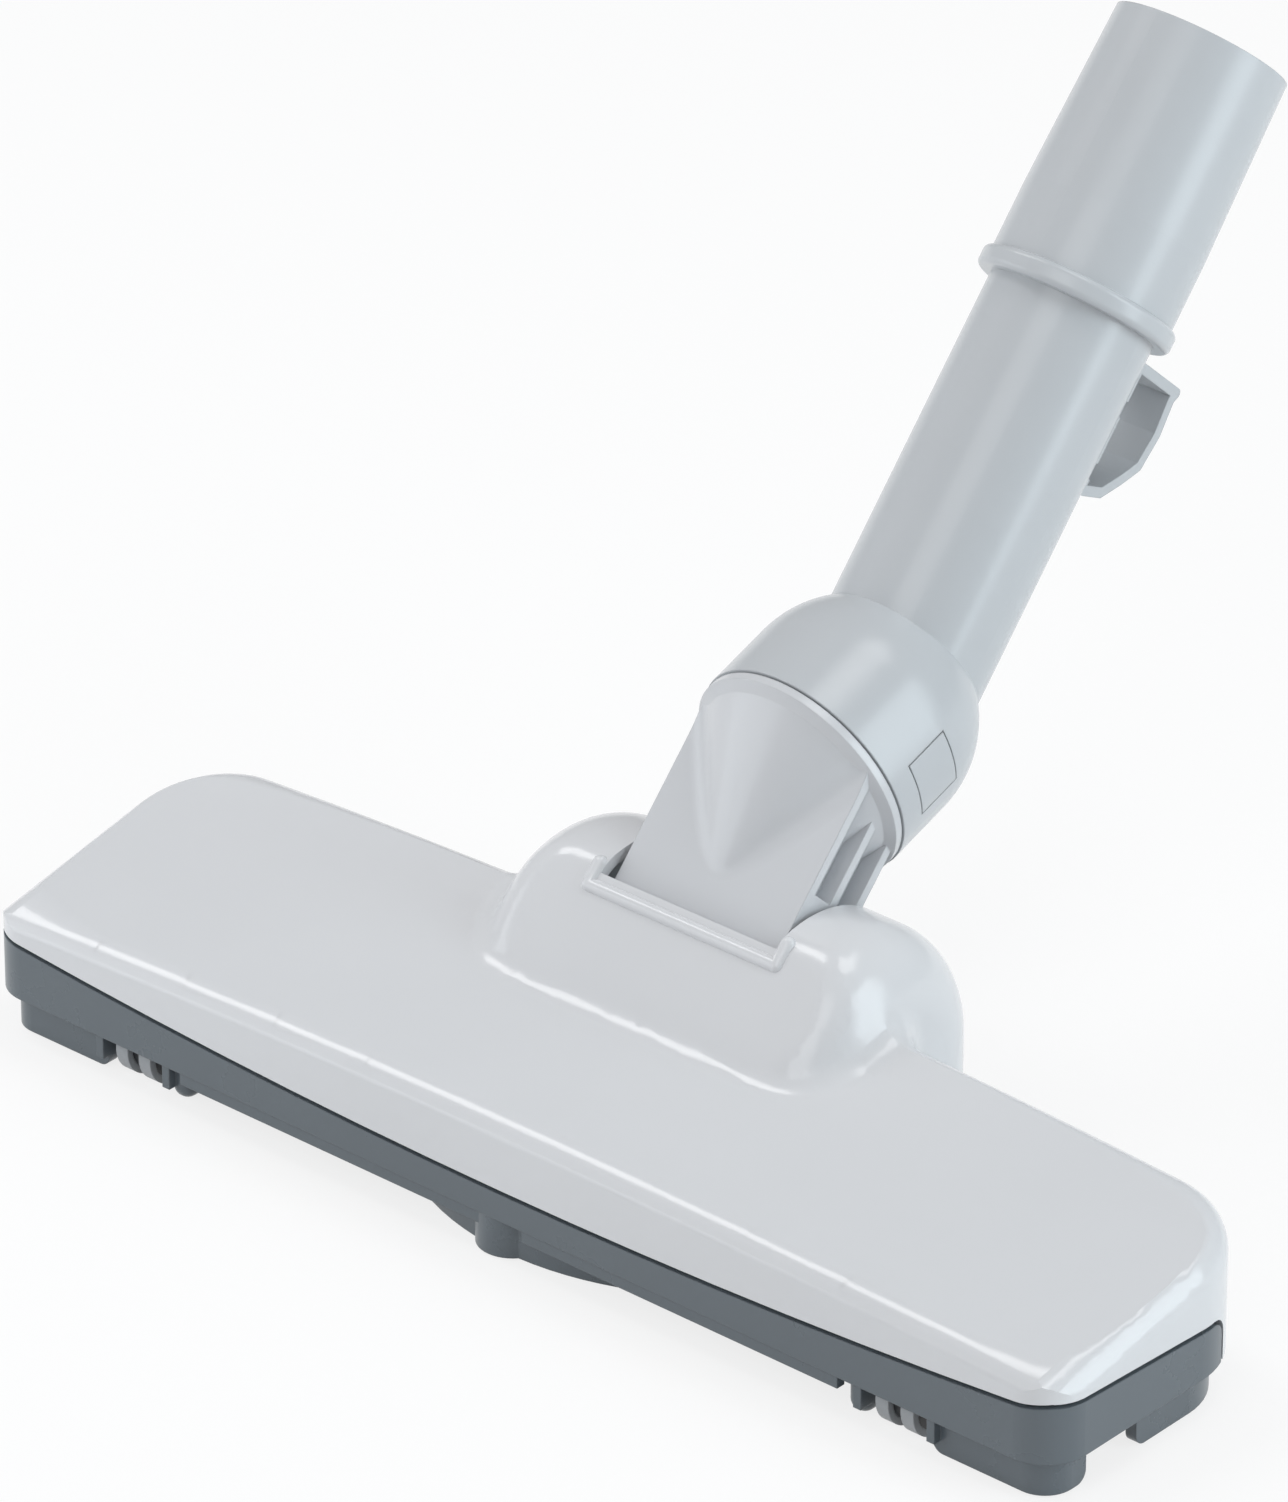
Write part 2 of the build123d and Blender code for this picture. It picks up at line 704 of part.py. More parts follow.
with BuildPart() as neck:
    with BuildSketch(neck_plane):
        with Locations((40, (neck_face + neck_back) / 2)):
            Rectangle(70, neck_face - neck_back)
    extrude(amount=neck_half, both=True)
    with BuildSketch(neck_plane):
        for row in (0, 1):
            with Locations((pocket_low + 40, neck_face - rib_pitch * (row + 0.5) - rib_thick / 2)):
                Rectangle(80, rib_pitch - rib_thick)
    extrude(amount=neck_half + 1, both=True, mode=Mode.SUBTRACT)
    with BuildSketch(neck_across.offset(pocket_low - 1)):
        with Locations((0, -(neck_face + neck_back) / 2)):
            Rectangle(2 * pocket_floor, neck_face - neck_back)
    extrude(amount=60)
    add(bulge.part)
    flat = neck.faces().filter_by(lambda f: f.normal_at().dot(neck_plane.y_dir) > 0.999)
    fillet(flat.sort_by(SortBy.AREA)[-1].edges().filter_by(GeomType.BSPLINE), bulge_blend_r)
    add(above_flange, mode=Mode.SUBTRACT)
    with BuildSketch(Plane.YZ):
        with Locations((pivot_y, pivot_height)):
            Circle(barrel_r)
    extrude(amount=neck_half, both=True)
    with BuildSketch(Plane.YZ):
        with Locations((pivot_y, pivot_height)):
            Circle(trunnion_r)
    extrude(amount=neck_half + trunnion_len, both=True)
    with BuildSketch(swivel_plane.offset(-flange_under)):
        Circle(collar_r - flange_taper)
    with BuildSketch(swivel_plane.offset(-flange_thick)):
        Circle(collar_r - flange_step)
    loft()
    with BuildSketch(swivel_plane.offset(-flange_thick)):
        Circle(collar_r - flange_step)
    extrude(amount=flange_thick)
    with BuildSketch(swivel_plane):
        Circle(hub_r - running_clear)
    extrude(amount=hub_len)
    with BuildSketch(Plane.YZ):
        with Locations((pivot_y, pivot_height)):
            Circle(barrel_r - barrel_shell)
    extrude(amount=neck_half - barrel_shell, both=True, mode=Mode.SUBTRACT)
    add(neck_duct.part, mode=Mode.SUBTRACT)
    with BuildSketch(swivel_plane.offset(-flange_under)):
        Circle(hub_bore)
    extrude(amount=hub_len + flange_under + 1, mode=Mode.SUBTRACT)
    with BuildSketch(Plane.YZ):
        with BuildLine():
            mouth = CenterArc((pivot_y, pivot_height), barrel_r + 1, barrel_open_from, barrel_open_sweep)
            Line(mouth @ 0, (pivot_y, pivot_height))
            Line(mouth @ 1, (pivot_y, pivot_height))
        make_face()
    extrude(amount=neck_half - barrel_shell, both=True, mode=Mode.SUBTRACT)
    for low, high in ((seal_low, seal_low + seal_groove), (lock_low, lock_low + lock_groove)):
        with BuildSketch(swivel_plane.offset(low)):
            Circle(hub_r + 1)
            Circle(hub_r - groove_depth, mode=Mode.SUBTRACT)
        extrude(amount=high - low, mode=Mode.SUBTRACT)
neck.part.label = "neck"
export_step(neck.part, "parts/neck.step")

with BuildPart() as swivel_seal:
    ring_in = hub_r - groove_depth + seal_seat
    with BuildSketch(swivel_plane.offset(seal_low + seal_groove / 2)):
        Circle(ring_in + 2 * seal_r)
        Circle(ring_in, mode=Mode.SUBTRACT)
    extrude(amount=seal_r, both=True)
swivel_seal.part.label = "swivel_seal"
export_step(swivel_seal.part, "parts/swivel_seal.step")

# Pipe: collar, dome, straight pipe, bead, spigot and parking hook in one moulding
dome_centre = swivel_plane.from_local_coords((0, 0, collar_len))
spigot_from = flange_along + bead_thick / 2
hook_top = flange_along - bead_thick / 2 - hook_top_gap
hook_foot = hook_top - hook_len

# Outline of the hook: flat top, slightly waved back, foot drawn in to the pipe
with BuildSketch() as hook_face:
    with BuildLine():
        Polyline(
            (hook_foot, -pipe_r - hook_rib),
            (hook_foot, -pipe_bore - 1),
            (hook_top, -pipe_bore - 1),
            (hook_top, -hook_out - hook_wave),
            (hook_top - 0.1 * hook_len, -hook_out + hook_wave),
            (hook_top - 0.35 * hook_len, -hook_out - hook_wave / 2),
            (hook_top - 0.62 * hook_len, -hook_out + hook_wave),
            (hook_top - 0.78 * hook_len, -hook_out + hook_draw / 2),
            (hook_top - 0.94 * hook_len, -hook_out + hook_draw),
            close=True,
        )
    make_face()
    fillet(hook_face.vertices().filter_by(lambda v: v.Y < -pipe_r - hook_rib - 1), hook_round)

with BuildPart() as collar_shape:
    with BuildSketch(swivel_plane.offset(swivel_gap)):
        Circle(collar_r)
    extrude(amount=collar_len - swivel_gap)
    with Locations(dome_centre):
        Sphere(collar_r)
    with BuildSketch(swivel_plane.offset(swivel_gap)):
        Circle(2 * collar_r)
    extrude(amount=-2 * collar_r, mode=Mode.SUBTRACT)

with BuildPart() as swivel_pipe:
    add(collar_shape.part)
    with BuildSketch(pipe_plane.offset(-6)):
        Circle(pipe_r)
    extrude(amount=flange_along + 6)
    with BuildSketch(pipe_side) as profile:
        with BuildLine():
            Polyline(
                (flange_along - bead_thick / 2, 0),
                (flange_along - bead_thick / 2, bead_r),
                (spigot_from, bead_r),
                (spigot_from, land_r),
                (spigot_from + land_len, land_r),
                (pipe_len, tip_r),
                (pipe_len, 0),
                close=True,
            )
        make_face()
        fillet(profile.vertices().filter_by(lambda v: abs(v.Y - bead_r) < 0.01), bead_edge)
    revolve(axis=Axis(pipe_plane.origin, pipe_plane.z_dir))
    with BuildSketch(pipe_side):
        add(hook_face.sketch)
    extrude(amount=hook_half, both=True)
    with BuildSketch(pipe_side):
        offset(hook_face.sketch, amount=-hook_wall, kind=Kind.INTERSECTION)
        with Locations((hook_top - hook_len / 2, 0)):
            Rectangle(2 * hook_len, 2 * (pipe_r + hook_rib), mode=Mode.SUBTRACT)
        for step in (0.35, 0.82):
            with Locations((hook_top - hook_len * step, -pipe_r - hook_rib)):
                Rectangle(hook_slot, 2 * hook_rib - 0.8)
    extrude(amount=hook_half + 1, both=True, mode=Mode.SUBTRACT)
    with BuildSketch(swivel_plane):
        Circle(hub_r)
    extrude(amount=hub_len + 1, mode=Mode.SUBTRACT)
    with Locations(dome_centre):
        Sphere(hub_r - 0.2, mode=Mode.SUBTRACT)
    with BuildSketch(pipe_plane.offset(-2)):
        Circle(pipe_bore)
    extrude(amount=pipe_len + 10, mode=Mode.SUBTRACT)
    with BuildSketch(pipe_plane.offset(flange_along)):
        Circle(spigot_bore)
    extrude(amount=pipe_len, mode=Mode.SUBTRACT)
    with BuildSketch(swivel_plane.offset(tab_low - fit_gap)):
        for side in (-1, 1):
            with Locations((side * (hub_r + 6), 0)):
                Rectangle(16, 2 * (tab_half + fit_gap))
    extrude(amount=tab_high - tab_low + 2 * fit_gap, mode=Mode.SUBTRACT)
swivel_pipe.part.label = "swivel_pipe"
export_step(swivel_pipe.part, "parts/swivel_pipe.step")

# Lock tabs hold the hub in the collar
for side, name in ((-1, "left"), (1, "right")):
    with BuildPart() as lock_tab:
        with BuildSketch(swivel_plane.offset(tab_low)):
            with Locations((side * (hub_r + 0.15 + 4), 0)):
                Rectangle(8, 2 * tab_half)
        extrude(amount=tab_high - tab_low)
        add(collar_shape.part, mode=Mode.INTERSECT)
        with BuildSketch(swivel_plane.offset(lock_low + fit_gap)):
            Circle(hub_r + 1.5)
            Circle(hub_r - groove_depth + fit_gap, mode=Mode.SUBTRACT)
            with Locations((side * hub_r, 0)):
                Rectangle(8, 2 * tab_half - 1, mode=Mode.INTERSECT)
        extrude(amount=lock_groove - 2 * fit_gap)
    lock_tab.part.label = "lock_tab_" + name
    export_step(lock_tab.part, "parts/lock_tab_" + name + ".step")

# Rollers and wheels with their tyres and axles
for side, name in ((-1, "left"), (1, "right")):
    centre = side * roller_x
    with BuildPart() as front_roller:
        with BuildSketch(Plane.YZ.offset(centre)):
            with Locations((roller_y, roller_r)):
                Circle(roller_r - tyre_depth)
                Circle(axle_r + axle_clear, mode=Mode.SUBTRACT)
        extrude(amount=roller_half, both=True)
    front_roller.part.label = "front_roller_" + name
    export_step(front_roller.part, "parts/front_roller_" + name + ".step")

    with BuildPart() as roller_tyres:
        for shift in (-1, 1):
            with BuildSketch(Plane.YZ.offset(centre + shift * (roller_half - tyre_width / 2))):
                with Locations((roller_y, roller_r)):
                    Circle(roller_r)
                    Circle(roller_r - tyre_depth, mode=Mode.SUBTRACT)
            extrude(amount=tyre_width / 2, both=True)
    roller_tyres.part.label = "front_roller_tyres_" + name
    export_step(roller_tyres.part, "parts/front_roller_tyres_" + name + ".step")

    with BuildPart() as front_axle:
        with BuildSketch(Plane.YZ.offset(centre)):
            with Locations((roller_y, roller_r)):
                Circle(axle_r)
        extrude(amount=axle_half, both=True)
    front_axle.part.label = "front_axle_" + name
    export_step(front_axle.part, "parts/front_axle_" + name + ".step")

    place = side * wheel_x
    with BuildPart() as rear_wheel:
        with BuildSketch(Plane.YZ.offset(place)):
            with Locations((wheel_y, wheel_r)):
                Circle(wheel_r - wheel_tyre)
                Circle(axle_r + axle_clear, mode=Mode.SUBTRACT)
        extrude(amount=wheel_half, both=True)
    rear_wheel.part.label = "rear_wheel_" + name
    export_step(rear_wheel.part, "parts/rear_wheel_" + name + ".step")

    with BuildPart() as rear_tyre:
        with BuildSketch(Plane.YZ.offset(place)):
            with Locations((wheel_y, wheel_r)):
                Circle(wheel_r)
                Circle(wheel_r - wheel_tyre, mode=Mode.SUBTRACT)
        extrude(amount=wheel_half, both=True)
    rear_tyre.part.label = "rear_tyre_" + name
    export_step(rear_tyre.part, "parts/rear_tyre_" + name + ".step")

    with BuildPart() as rear_axle:
        with BuildSketch(Plane.YZ.offset(place)):
            with Locations((wheel_y, wheel_r)):
                Circle(axle_r)
        extrude(amount=wheel_axle_half, both=True)
    rear_axle.part.label = "rear_axle_" + name
    export_step(rear_axle.part, "parts/rear_axle_" + name + ".step")

# Brush strips under the sole: a rail and its bristle tufts
rear_rail_to = half_width - rear_rail_inset
rear_rail_mid = (rear_rail_from + rear_rail_to) / 2
rear_rail_half_len = (rear_rail_to - rear_rail_from) / 2
strips = (
    ("front", 0.0, front_rail_setback, half_width - front_rail_inset),
    ("rear_left", -rear_rail_mid, rear_rail_setback, rear_rail_half_len),
    ("rear_right", rear_rail_mid, rear_rail_setback, rear_rail_half_len),
)
for name, middle, setback, half_len in strips:
    with BuildPart() as brush_rail:
        with Locations((middle, front_y + setback, skirt_bottom - rail_height / 2)):
            Box(2 * half_len, 2 * rail_half, rail_height)
    brush_rail.part.label = "brush_rail_" + name
    export_step(brush_rail.part, "parts/brush_rail_" + name + ".step")

    tufts = int((2 * half_len - 2 * tuft_r) // tuft_pitch) + 1
    with BuildPart() as bristles:
        with BuildSketch(Plane.XY):
            with Locations((middle, front_y + setback)):
                with GridLocations(tuft_pitch, 1, tufts, 1):
                    RegularPolygon(tuft_r, 6)
        extrude(amount=skirt_bottom - rail_height)
    bristles.part.label = "bristles_" + name
    export_step(bristles.part, "parts/bristles_" + name + ".step")
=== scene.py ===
import json
import math
import random

import bmesh
import bpy
from mathutils import Matrix, Vector


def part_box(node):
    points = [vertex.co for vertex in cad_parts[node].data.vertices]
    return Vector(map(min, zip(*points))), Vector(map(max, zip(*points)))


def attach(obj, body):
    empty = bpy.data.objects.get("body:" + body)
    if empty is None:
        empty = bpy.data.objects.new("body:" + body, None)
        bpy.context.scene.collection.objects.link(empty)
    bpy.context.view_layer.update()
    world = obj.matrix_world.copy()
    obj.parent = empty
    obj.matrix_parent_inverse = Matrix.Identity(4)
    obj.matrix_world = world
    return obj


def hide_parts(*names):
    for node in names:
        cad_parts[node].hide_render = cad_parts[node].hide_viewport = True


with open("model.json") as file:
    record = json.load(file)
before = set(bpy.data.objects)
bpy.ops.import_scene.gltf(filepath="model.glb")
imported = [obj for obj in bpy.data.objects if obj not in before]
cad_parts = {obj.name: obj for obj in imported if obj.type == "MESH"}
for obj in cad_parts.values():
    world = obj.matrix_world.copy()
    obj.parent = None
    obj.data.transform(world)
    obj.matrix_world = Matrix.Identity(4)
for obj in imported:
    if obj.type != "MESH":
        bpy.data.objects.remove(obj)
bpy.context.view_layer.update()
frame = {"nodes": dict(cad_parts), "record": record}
scene = bpy.context.scene
scene.view_settings.view_transform = "Standard"

FRONT_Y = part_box("base_plate")[0][1]


def material(name):
    mat = bpy.data.materials.new(name)
    mat.use_nodes = True
    tree = mat.node_tree
    shader = tree.nodes["Principled BSDF"]
    return mat, tree, shader


def noise(tree, scale, detail=3.0):
    coord = tree.nodes.new("ShaderNodeTexCoord")
    node = tree.nodes.new("ShaderNodeTexNoise")
    node.inputs["Scale"].default_value = scale
    node.inputs["Detail"].default_value = detail
    node.inputs["Roughness"].default_value = 0.55
    tree.links.new(coord.outputs["Object"], node.inputs["Vector"])
    return node


def ramp(tree, source, stops):
    node = tree.nodes.new("ShaderNodeValToRGB")
    while len(node.color_ramp.elements) < len(stops):
        node.color_ramp.elements.new(0.5)
    for element, (place, colour) in zip(node.color_ramp.elements, stops):
        element.position = place
        element.color = (*colour, 1.0)
    tree.links.new(source, node.inputs["Fac"])
    return node


def spread(tree, source, low, high):
    node = tree.nodes.new("ShaderNodeMapRange")
    node.inputs["To Min"].default_value = low
    node.inputs["To Max"].default_value = high
    tree.links.new(source, node.inputs["Value"])
    return node


def plastic(name, colour, shade, rough, grain_scale, grain, edge=0.0004):
    """Moulded plastic: slight colour drift, uneven gloss, fine moulded grain and softened edges."""
    mat, tree, shader = material(name)
    drift = noise(tree, 22.0)
    tint = ramp(tree, drift.outputs["Fac"], [(0.3, shade), (0.7, colour)])
    tree.links.new(tint.outputs["Color"], shader.inputs["Base Color"])
    gloss = noise(tree, 60.0, 5.0)
    span = spread(tree, gloss.outputs["Fac"], rough * 0.85, rough * 1.15)
    tree.links.new(span.outputs["Result"], shader.inputs["Roughness"])
    fine = noise(tree, grain_scale, 2.0)
    soft = tree.nodes.new("ShaderNodeBevel")
    soft.samples = 4
    soft.inputs["Radius"].default_value = edge
    bump = tree.nodes.new("ShaderNodeBump")
    bump.inputs["Strength"].default_value = grain
    bump.inputs["Distance"].default_value = 0.0002
    tree.links.new(soft.outputs["Normal"], bump.inputs["Normal"])
    tree.links.new(fine.outputs["Fac"], bump.inputs["Height"])
    tree.links.new(bump.outputs["Normal"], shader.inputs["Normal"])
    return mat


cover_mat = plastic("cover_plastic", (0.68, 0.685, 0.70), (0.665, 0.67, 0.685), 0.17, 2600, 0.02, 0.0)
pipe_mat = plastic("pipe_plastic", (0.525, 0.545, 0.565), (0.51, 0.53, 0.55), 0.24, 2600, 0.03)
neck_mat = plastic("neck_plastic", (0.62, 0.63, 0.65), (0.605, 0.615, 0.635), 0.24, 2600, 0.03)
base_mat = plastic("base_plastic", (0.116, 0.138, 0.156), (0.110, 0.131, 0.148), 0.28, 1800, 0.02)
hub_mat = plastic("hub_plastic", (0.02, 0.022, 0.025), (0.017, 0.019, 0.022), 0.4, 1500, 0.1)
tread_mat = plastic("tread_rubber", (0.34, 0.355, 0.37), (0.30, 0.315, 0.33), 0.45, 1500, 0.2)
rail_mat = plastic("rail_plastic", (0.03, 0.033, 0.036), (0.025, 0.028, 0.03), 0.5, 1500, 0.1)
bristle_mat = plastic("bristle_nylon", (0.018, 0.018, 0.02), (0.012, 0.012, 0.014), 0.4, 3000, 0.3, 0.0001)
seal_mat = plastic("seal_rubber", (0.012, 0.012, 0.013), (0.010, 0.010, 0.011), 0.6, 1500, 0.1)
steel_mat, steel_tree, steel_shader = material("plain_steel")
steel_shader.inputs["Metallic"].default_value = 1.0
steel_noise = noise(steel_tree, 400.0, 4.0)
steel_stops = [(0.3, (0.50, 0.51, 0.52)), (0.7, (0.60, 0.61, 0.62))]
steel_tint = ramp(steel_tree, steel_noise.outputs["Fac"], steel_stops)
steel_tree.links.new(steel_tint.outputs["Color"], steel_shader.inputs["Base Color"])
steel_rough = spread(steel_tree, steel_noise.outputs["Fac"], 0.25, 0.4)
steel_tree.links.new(steel_rough.outputs["Result"], steel_shader.inputs["Roughness"])

by_slot = {
    "cover": cover_mat,
    "base": base_mat,
    "neck": neck_mat,
    "pipe": pipe_mat,
    "roller": hub_mat,
    "tread": tread_mat,
    "steel": steel_mat,
    "seal": seal_mat,
    "rail": rail_mat,
    "bristle": bristle_mat,
}
slot_of = {row["node"]: row["material_slot"] for row in frame["record"]["subparts"]}
for name, obj in frame["nodes"].items():
    if not obj.material_slots:
        obj.data.materials.append(by_slot[slot_of[name]])
    for spot in obj.material_slots:
        spot.material = by_slot[slot_of[name]]

body_of = {node: body for body, nodes in frame["record"]["behaviour"]["bodies"].items() for node in nodes}


def stand_in(name, node, bm):
    """Shows a finer mesh in place of a CAD node, on the same body and with the same finish."""
    mesh = bpy.data.meshes.new(name)
    bm.to_mesh(mesh)
    bm.free()
    if "custom_normal" in mesh.attributes:
        mesh.attributes.remove(mesh.attributes["custom_normal"])
    piece = bpy.data.objects.new(name, mesh)
    bpy.context.collection.objects.link(piece)
    mesh.materials.clear()
    mesh.materials.append(by_slot[slot_of[node]])
    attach(piece, body_of[node])
    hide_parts(node)
    return piece


def smooth_by_angle(bm, angle):
    """Smooth shading, with edges kept sharp where the faces turn by more than the angle in degrees."""
    for face in bm.faces:
        face.smooth = True
        face.material_index = 0
    for edge in bm.edges:
        edge.smooth = len(edge.link_faces) == 2 and edge.calc_face_angle() < math.radians(angle)


# Section of the cover's crowned top, in metres back from the front edge and up from the floor
CROWN_R = 2.6
CREASE_LOW = Vector((0.0, 0.0261))
CREASE_HIGH = Vector((0.0028, 0.0288))
TOP_MID = Vector((0.030, 0.0326))
TOP_REAR = Vector((0.049, 0.0367))
REAR_SLOPE = 0.34
UPPER_R = 0.007
LOWER_R = 0.0016
ON_SECTION = 0.00006
SAME_WAY = 0.94
COVER_SHARP = 32

bevel = (CREASE_HIGH - CREASE_LOW).normalized()
bevel_in = Vector((bevel.y, -bevel.x))
# Centre of the long arc through the three points of the top
side_one = TOP_MID - CREASE_HIGH
side_two = TOP_REAR - TOP_MID
half_one = (TOP_MID.length_squared - CREASE_HIGH.length_squared) / 2
half_two = (TOP_REAR.length_squared - TOP_MID.length_squared) / 2
area = side_one.cross(side_two)
dish = Vector((
    (half_one * side_two.y - half_two * side_one.y) / area,
    (half_two * side_one.x - half_one * side_two.x) / area,
))
DISH_R = (TOP_MID - dish).length
# Centres of the two rounded creases
offset = CREASE_LOW + bevel_in * UPPER_R - dish
along = -offset.dot(bevel)
spare = math.sqrt(along ** 2 - offset.length_squared + (DISH_R + UPPER_R) ** 2)
steps = (along - spare, along + spare)
upper_step = min(steps, key=lambda t: abs(t - (CREASE_HIGH - CREASE_LOW).length))
upper_mid = CREASE_LOW + bevel * upper_step + bevel_in * UPPER_R
upper_end = upper_mid + (dish - upper_mid).normalized() * UPPER_R
lower_step = LOWER_R * (1 - bevel_in.x) / bevel.x
lower_mid = CREASE_LOW + bevel * lower_step + bevel_in * LOWER_R


def section_normal(p):
    """Outward direction of the crowned top's section at a point of it, or None off the section."""
    if abs(p.x) < ON_SECTION and p.y < lower_mid.y:
        return Vector((-1, 0))
    if p.x < CREASE_LOW.x + bevel.x * lower_step:
        return (p - lower_mid).normalized() if abs((p - lower_mid).length - LOWER_R) < ON_SECTION else None
    if p.x < CREASE_LOW.x + bevel.x * upper_step:
        return -bevel_in if abs((p - CREASE_LOW).dot(bevel_in)) < ON_SECTION else None
    if p.x < upper_end.x:
        return (p - upper_mid).normalized() if abs((p - upper_mid).length - UPPER_R) < ON_SECTION else None
    if p.x < TOP_REAR.x:
        return (dish - p).normalized() if abs((p - dish).length - DISH_R) < ON_SECTION else None
    rise = TOP_REAR.y + REAR_SLOPE * (p.x - TOP_REAR.x)
    return Vector((-REAR_SLOPE, 1)).normalized() if abs(p.y - rise) < ON_SECTION else None


def crown_normal(co):
    """Outward direction of the crowned top at a point of it, or None elsewhere."""
    radial = Vector((co.x, co.z + CROWN_R))
    flat = section_normal(Vector((co.y - FRONT_Y, radial.length - CROWN_R)))
    if flat is None:
        return None
    radial.normalize()
    return Vector((radial.x * flat.y, flat.x, radial.y * flat.y))


def even_shell(name, node):
    """A copy of the cover whose normals follow the true section, so that long highlights run clean."""
    bm = bmesh.new()
    bm.from_mesh(frame["nodes"][node].data)
    bmesh.ops.remove_doubles(bm, verts=bm.verts[:], dist=1e-6)
    smooth_by_angle(bm, COVER_SHARP)
    piece = stand_in(name, node, bm)
    even = piece.modifiers.new("even_normals", "WEIGHTED_NORMAL")
    even.keep_sharp = True
    bpy.context.view_layer.update()
    shaped = piece.evaluated_get(bpy.context.evaluated_depsgraph_get()).data
    normals = [corner.vector.copy() for corner in shaped.corner_normals]
    piece.modifiers.remove(even)
    mesh = piece.data
    found = [crown_normal(v.co) for v in mesh.vertices]
    for face in mesh.polygons:
        on_crown = all(found[v] is not None for v in face.vertices)
        for loop in face.loop_indices:
            exact = found[mesh.loops[loop].vertex_index]
            if exact is not None and (on_crown or exact.dot(face.normal) > SAME_WAY):
                normals[loop] = exact
    mesh.normals_split_custom_set(normals)


even_shell("cover_shell", "top_cover")


def tuft(bm, x, y, top, radius, seed):
    """One tuft: thin nylon filaments that spread a little towards the floor."""
    rng = random.Random(seed)
    rings = [(0, 1), (0.5, 6), (0.92, 12)]
    for reach, number in rings:
        for spot in range(number):
            turn = 2 * math.pi * spot / number + rng.uniform(-0.15, 0.15)
            away = reach * (radius - FILAMENT)
            lean = rng.uniform(0.85, 1.12)
            foot_turn = turn + rng.uniform(-0.12, 0.12)
            foot = rng.uniform(0.0, 0.0003)
            line = [
                (x + away * 0.8 * math.cos(turn), y + away * 0.8 * math.sin(turn), top),
                (x + away * 0.9 * math.cos(turn), y + away * 0.9 * math.sin(turn), top * 0.5),
                (x + away * lean * math.cos(foot_turn), y + away * lean * math.sin(foot_turn), foot),
            ]
            loops = [
                [bm.verts.new((px + dx, py + dy, pz)) for dx, dy in FILAMENT_RING]
                for px, py, pz in line
            ]
            for one, two in zip(loops, loops[1:]):
                for a in range(FILAMENT_SIDES):
                    bm.faces.new((one[a - 1], one[a], two[a], two[a - 1]))
            bm.faces.new(loops[0])
            bm.faces.new(reversed(loops[-1]))


FILAMENT = 0.00017
FILAMENT_SIDES = 5
FILAMENT_TURN = 2 * math.pi / FILAMENT_SIDES
FILAMENT_RING = [
    (FILAMENT * math.cos(a * FILAMENT_TURN), FILAMENT * math.sin(a * FILAMENT_TURN))
    for a in range(FILAMENT_SIDES)
]
FILAMENT_SHARP = 80
TUFT_PITCH = 0.006
for node in ("bristles_front", "bristles_rear_left", "bristles_rear_right"):
    low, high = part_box(node)
    radius = (high[1] - low[1]) / 2 / math.cos(math.radians(30))
    tufts = round((high[0] - low[0] - 2 * radius) / TUFT_PITCH)
    bm = bmesh.new()
    for spot in range(tufts + 1):
        middle = (low[0] + high[0]) / 2 + (spot - tufts / 2) * TUFT_PITCH
        tuft(bm, middle, (low[1] + high[1]) / 2, high[2], radius, spot)
    bmesh.ops.recalc_face_normals(bm, faces=bm.faces[:])
    smooth_by_angle(bm, FILAMENT_SHARP)
    stand_in(node + "_filaments", node, bm)

# Floor: white to the camera and in reflections, and it keeps the soft shadow of the object
FLOOR_GLOW = 0.8
FLOOR_HALF = 6
floor_corners = [(x * FLOOR_HALF, y * FLOOR_HALF, 0) for x, y in ((-1, -1), (1, -1), (1, 1), (-1, 1))]
floor_mesh = bpy.data.meshes.new("floor")
floor_mesh.from_pydata(floor_corners, [], [(0, 1, 2, 3)])
floor = bpy.data.objects.new("floor", floor_mesh)
bpy.context.collection.objects.link(floor)
floor_mat, floor_tree, floor_shader = material("floor_white")
floor_shader.inputs["Base Color"].default_value = (0.92, 0.92, 0.92, 1)
floor_shader.inputs["Roughness"].default_value = 0.9
floor_shader.inputs["Specular IOR Level"].default_value = 0.0
glow = floor_tree.nodes.new("ShaderNodeEmission")
path = floor_tree.nodes.new("ShaderNodeLightPath")
seen = floor_tree.nodes.new("ShaderNodeMath")
seen.operation = "MAXIMUM"
through = floor_tree.nodes.new("ShaderNodeMath")
through.operation = "MAXIMUM"
part = floor_tree.nodes.new("ShaderNodeMath")
part.operation = "MULTIPLY"
part.inputs[1].default_value = FLOOR_GLOW
blend = floor_tree.nodes.new("ShaderNodeMixShader")
floor_tree.links.new(path.outputs["Is Camera Ray"], seen.inputs[0])
floor_tree.links.new(path.outputs["Is Glossy Ray"], seen.inputs[1])
floor_tree.links.new(seen.outputs["Value"], through.inputs[0])
floor_tree.links.new(path.outputs["Is Transmission Ray"], through.inputs[1])
floor_tree.links.new(through.outputs["Value"], part.inputs[0])
floor_tree.links.new(part.outputs["Value"], blend.inputs["Fac"])
floor_tree.links.new(floor_shader.outputs["BSDF"], blend.inputs[1])
floor_tree.links.new(glow.outputs["Emission"], blend.inputs[2])
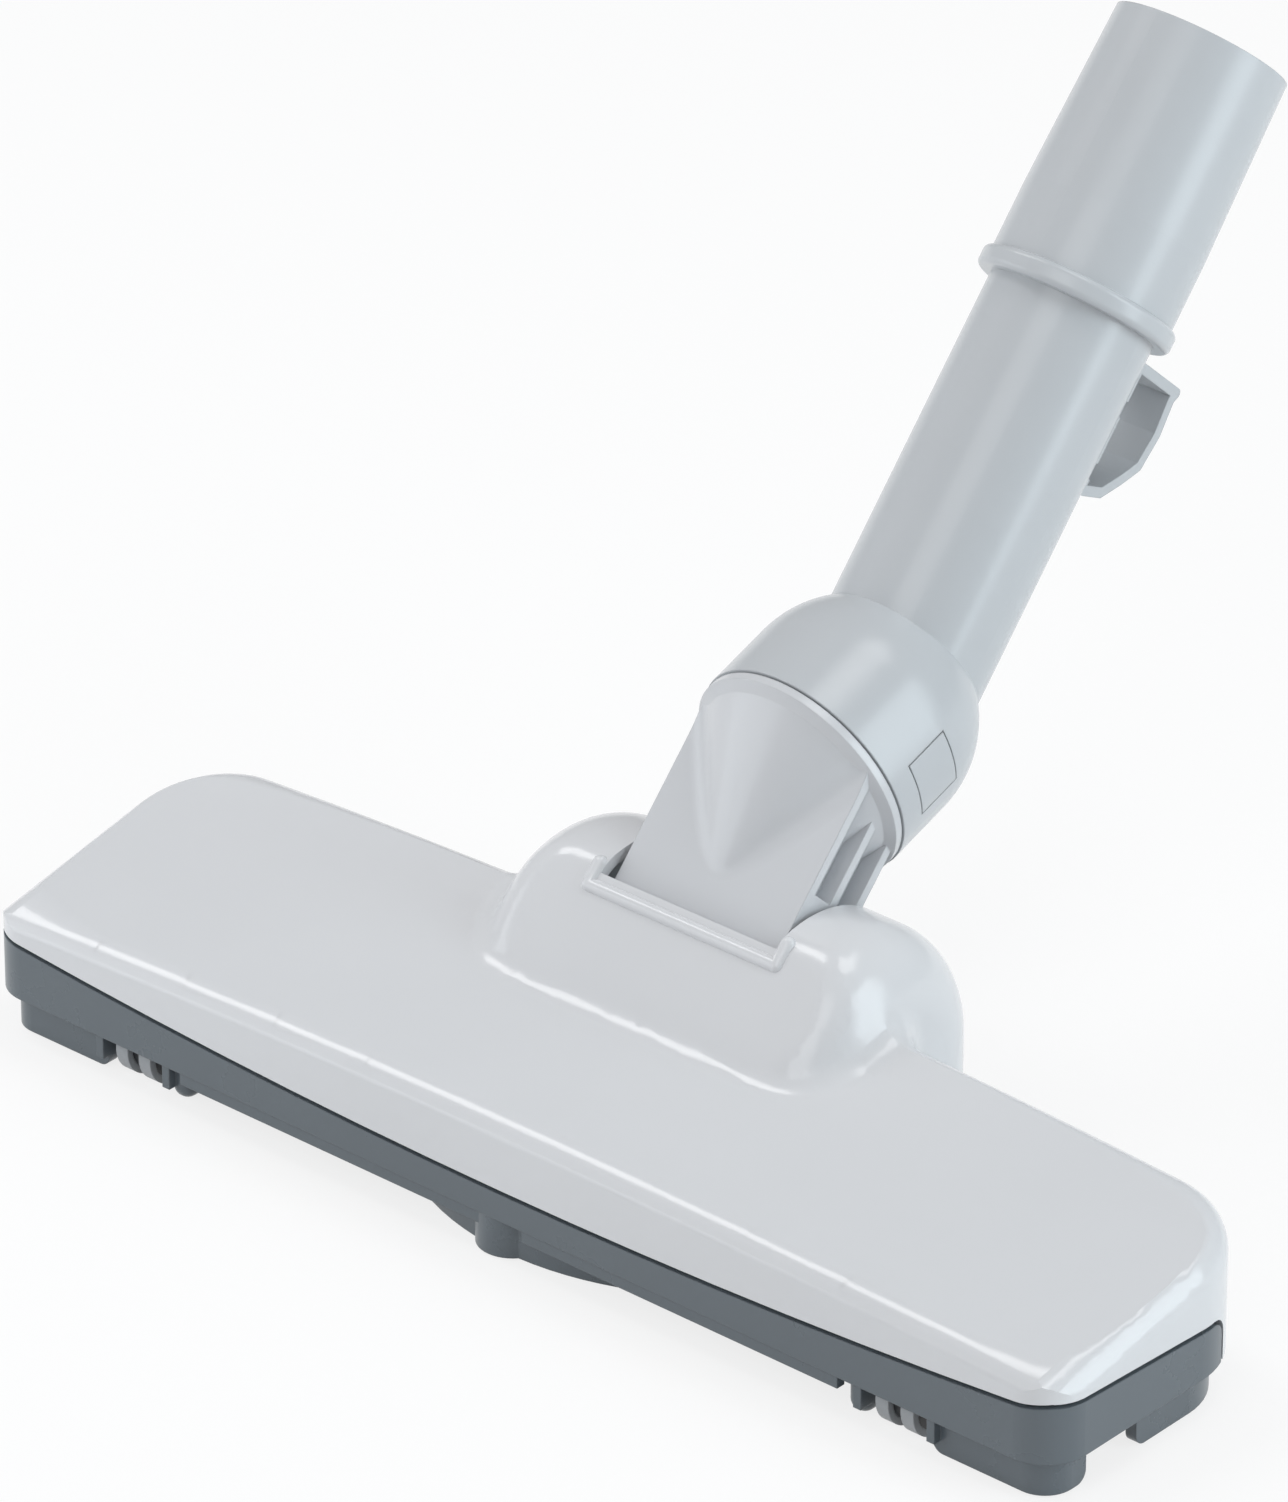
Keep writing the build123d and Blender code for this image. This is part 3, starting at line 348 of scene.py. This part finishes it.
floor_tree.links.new(blend.outputs["Shader"], floor_tree.nodes["Material Output"].inputs["Surface"])
floor_mesh.materials.append(floor_mat)

world = bpy.data.worlds.new("studio")
scene.world = world
world.use_nodes = True
sky = world.node_tree.nodes["Background"]
sky.inputs["Color"].default_value = (0.96, 0.975, 1.0, 1)
sky.inputs["Strength"].default_value = 0.36


def lamp(name, toward, distance, size, power, colour=(1, 1, 1)):
    """Soft box seen from the object in the given direction."""
    data = bpy.data.lights.new(name, "AREA")
    data.shape = "RECTANGLE"
    data.size = size[0]
    data.size_y = size[1]
    data.energy = power
    data.color = colour
    obj = bpy.data.objects.new(name, data)
    away = Vector(toward).normalized()
    obj.location = Vector((0, -0.03, 0.06)) + away * distance
    obj.rotation_euler = (-away).to_track_quat("-Z", "Y").to_euler()
    obj.visible_camera = False
    bpy.context.collection.objects.link(obj)


lamp("key", (-0.576, -0.09, 0.812), 2.0, (0.5, 1.2), 10)
lamp("low", (-0.72, -0.68, 0.14), 0.7, (0.6, 0.5), 1.5, (0.90, 0.96, 1.0))
lamp("side", (0.88, 0.32, 0.33), 1.8, (0.9, 1.5), 17, (0.84, 0.95, 1.0))
lamp("top", (0.15, 0.25, 0.95), 2.0, (0.8, 0.8), 7)
lamp("front", (0.2, -0.8, 0.75), 2.2, (1.2, 1.2), 7.5)

# Camera at the photograph's angle
AZ = math.radians(41.23)
EL = math.radians(29.01)
DIST = 2.0
F_PX = 5491.0 * DIST
right = Vector((math.cos(AZ), math.sin(AZ), 0))
back = Vector((math.sin(AZ) * math.cos(EL), -math.cos(AZ) * math.cos(EL), math.sin(EL)))
up = back.cross(right)
cam_data = bpy.data.cameras.new("camera")
cam_data.sensor_width = 36.0
cam_data.lens = F_PX / 1502 * 36.0
cam_data.clip_end = 50
cam = bpy.data.objects.new("camera", cam_data)
place = Vector((0, FRONT_Y, 0)) + right * 0.0264 + up * 0.0929 + back * DIST
turn = Matrix((right, up, back)).transposed().to_4x4()
turn.translation = place
cam.matrix_world = turn
bpy.context.collection.objects.link(cam)
scene.camera = cam
